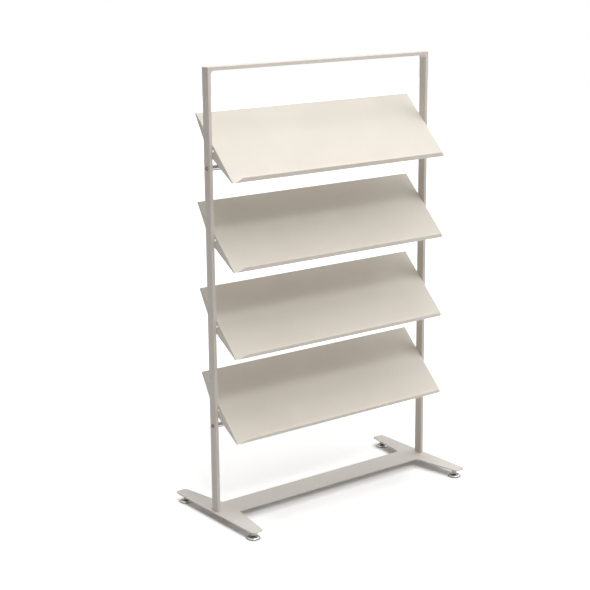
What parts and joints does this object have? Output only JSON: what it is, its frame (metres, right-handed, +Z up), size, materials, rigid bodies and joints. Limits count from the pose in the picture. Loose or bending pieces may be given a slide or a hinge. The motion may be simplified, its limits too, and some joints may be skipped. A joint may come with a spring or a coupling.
{
  "type": "display stand",
  "caption": "Free-standing steel display stand with folded sloping shelves between two flat-tube uprights on an H-shaped sheet base with levelling feet.",
  "frame": {"origin": "on the floor under the middle of the base", "axes": "+X to the right when the shelves face the viewer, +Y to the back, +Z up"},
  "size_m": [1.022, 0.5, 1.636],
  "materials": {
    "shelf_coat": "fine matt powder coat, warm off-white",
    "frame_coat": "fine matt powder coat, warm off-white",
    "base_coat": "fine matt powder coat, warm off-white",
    "satin_metal": "satin",
    "bolt_metal": "zinc plated",
    "foot_metal": "turned and bright plated",
    "plain_steel": "plain"
  },
  "bodies": {
    "stand": {"base_plate": "base_coat", "upright_left": "frame_coat", "upright_right": "frame_coat", "top_bar": "frame_coat", "corner_left": "frame_coat", "corner_right": "frame_coat", "shelf_1": "shelf_coat", "shelf_2": "shelf_coat", "shelf_3": "shelf_coat", "shelf_4": "shelf_coat", "stretcher_upper": "satin_metal", "stretcher_lower": "satin_metal", "stretcher_bolts_left": "bolt_metal", "stretcher_bolts_right": "bolt_metal", "stretcher_plugs_upper": "plain_steel", "stretcher_plugs_lower": "plain_steel", "leveller_bosses": "base_coat", "upright_plugs": "plain_steel", "base_bolts": "bolt_metal", "rivet_nuts_left": "plain_steel", "rivet_nuts_right": "plain_steel", "shelf_screws_1": "bolt_metal", "shelf_screws_2": "bolt_metal", "shelf_screws_3": "bolt_metal", "shelf_screws_4": "bolt_metal"},
    "leveller_front_left": {"leveller_front_left": "foot_metal"},
    "leveller_front_right": {"leveller_front_right": "foot_metal"},
    "leveller_rear_left": {"leveller_rear_left": "foot_metal"},
    "leveller_rear_right": {"leveller_rear_right": "foot_metal"}
  },
  "joints": [
    {"name": "leveller_front_left_screw", "type": "slide", "parent": "stand", "child": "leveller_front_left", "axis": [0, 0, -1], "range_m": [0, 0.008]},
    {"name": "leveller_front_right_screw", "type": "slide", "parent": "stand", "child": "leveller_front_right", "axis": [0, 0, -1], "range_m": [0, 0.008]},
    {"name": "leveller_rear_left_screw", "type": "slide", "parent": "stand", "child": "leveller_rear_left", "axis": [0, 0, -1], "range_m": [0, 0.008]},
    {"name": "leveller_rear_right_screw", "type": "slide", "parent": "stand", "child": "leveller_rear_right", "axis": [0, 0, -1], "range_m": [0, 0.008]}
  ]
}
